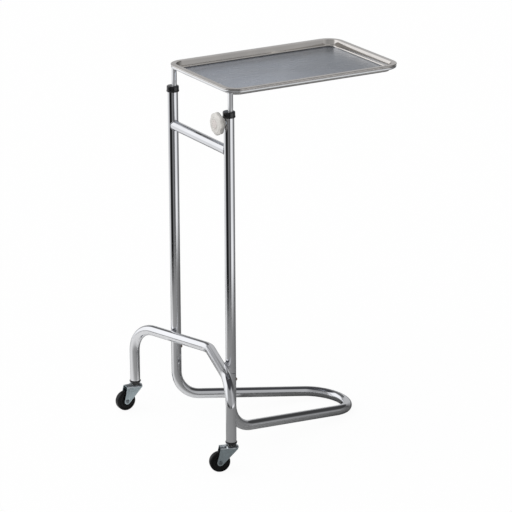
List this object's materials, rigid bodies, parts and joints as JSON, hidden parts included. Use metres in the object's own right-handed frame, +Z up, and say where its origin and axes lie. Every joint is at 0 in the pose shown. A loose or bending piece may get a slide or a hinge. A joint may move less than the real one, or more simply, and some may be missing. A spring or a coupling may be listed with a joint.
{
  "type": "over-bed instrument table",
  "caption": "Height-adjustable over-bed instrument table: a rimmed metal tray cantilevers from two rods in a chromed tubular stand with a low base loop and rear swivel casters.",
  "frame": {"origin": "on the floor, at the centre of the object's outer box", "axes": "+Z up, +X from the casters towards the tray's free end, +Y to the left when facing +X; the clamp knob is on the -Y post"},
  "size_m": [0.5918, 0.5272, 0.9193],
  "materials": {
    "chrome_tube": "bright chrome plate on steel tube",
    "chrome_rod": "bright chrome plate on solid rod",
    "tray_steel": "satin stainless sheet",
    "zinc_plate": "bright zinc plate on pressed steel",
    "screw": "dull brownish plated screw",
    "pad_brass": "turned brass",
    "cap_plastic": "glossy black moulded plastic",
    "wheel_rubber": "black moulded wheel",
    "nylon": "natural nylon",
    "knob_plastic": "light grey moulded plastic"
  },
  "bodies": {
    "frame": {"base_tube": "chrome_tube", "post_left": "chrome_tube", "post_right": "chrome_tube", "crossbar": "chrome_tube", "caster_arch": "chrome_tube", "post_cap_left": "cap_plastic", "post_cap_right": "cap_plastic", "coupler_left": "zinc_plate", "coupler_right": "zinc_plate", "coupler_screw_left": "screw", "coupler_screw_right": "screw", "caster_socket_left": "cap_plastic", "caster_socket_right": "cap_plastic", "caster_stem_left": "zinc_plate", "caster_stem_right": "zinc_plate", "caster_raceway_left": "zinc_plate", "caster_raceway_right": "zinc_plate", "caster_bearing_left": "nylon", "caster_bearing_right": "nylon", "clamp_insert": "zinc_plate"},
    "carriage": {"rod_left": "chrome_rod", "rod_right": "chrome_rod", "rod_guide_left": "nylon", "rod_guide_right": "nylon", "tray_frame": "chrome_rod"},
    "tray": {"tray": "tray_steel"},
    "clamp_pad": {"clamp_pad": "pad_brass"},
    "clamp_knob": {"clamp_knob": "knob_plastic", "clamp_knob_cap": "knob_plastic", "clamp_stud": "zinc_plate"},
    "caster_left": {"caster_fork_left": "zinc_plate", "caster_axle_left": "zinc_plate", "caster_nut_left": "zinc_plate", "caster_bush_left": "nylon"},
    "wheel_left": {"caster_wheel_left": "wheel_rubber"},
    "caster_right": {"caster_fork_right": "zinc_plate", "caster_axle_right": "zinc_plate", "caster_nut_right": "zinc_plate", "caster_bush_right": "nylon"},
    "wheel_right": {"caster_wheel_right": "wheel_rubber"}
  },
  "joints": [
    {"name": "height_slide", "type": "slide", "parent": "frame", "child": "carriage", "axis": [0, 0, 1], "range_m": [-0.03, 0.44]},
    {"name": "tray_lift", "type": "slide", "parent": "carriage", "child": "tray", "axis": [0, 0, 1], "range_m": [0, 0.1]},
    {"name": "clamp_travel", "type": "slide", "parent": "frame", "child": "clamp_pad", "axis": [-1, 0, 0], "range_m": [0, 0.0025]},
    {"name": "knob_turn", "type": "hinge", "parent": "clamp_pad", "child": "clamp_knob", "pos_m": [-0.18, -0.13815, 0.837], "axis": [-1, 0, 0], "range_deg": [0, 720]},
    {"name": "swivel_left", "type": "hinge", "parent": "frame", "child": "caster_left", "pos_m": [-0.2415, 0.2456, 0.06], "axis": [0, 0, 1], "continuous": true},
    {"name": "roll_left", "type": "hinge", "parent": "caster_left", "child": "wheel_left", "pos_m": [-0.2705, 0.2456, 0.0254], "axis": [0, 1, 0], "continuous": true},
    {"name": "swivel_right", "type": "hinge", "parent": "frame", "child": "caster_right", "pos_m": [-0.2415, -0.2456, 0.06], "axis": [0, 0, 1], "continuous": true},
    {"name": "roll_right", "type": "hinge", "parent": "caster_right", "child": "wheel_right", "pos_m": [-0.26916, -0.23688, 0.0254], "axis": [0.3007, 0.9537, 0], "continuous": true}
  ],
  "couplings": [
    {"joint": "clamp_travel", "follows": "knob_turn", "m_per_rad": 0.00019894}
  ]
}
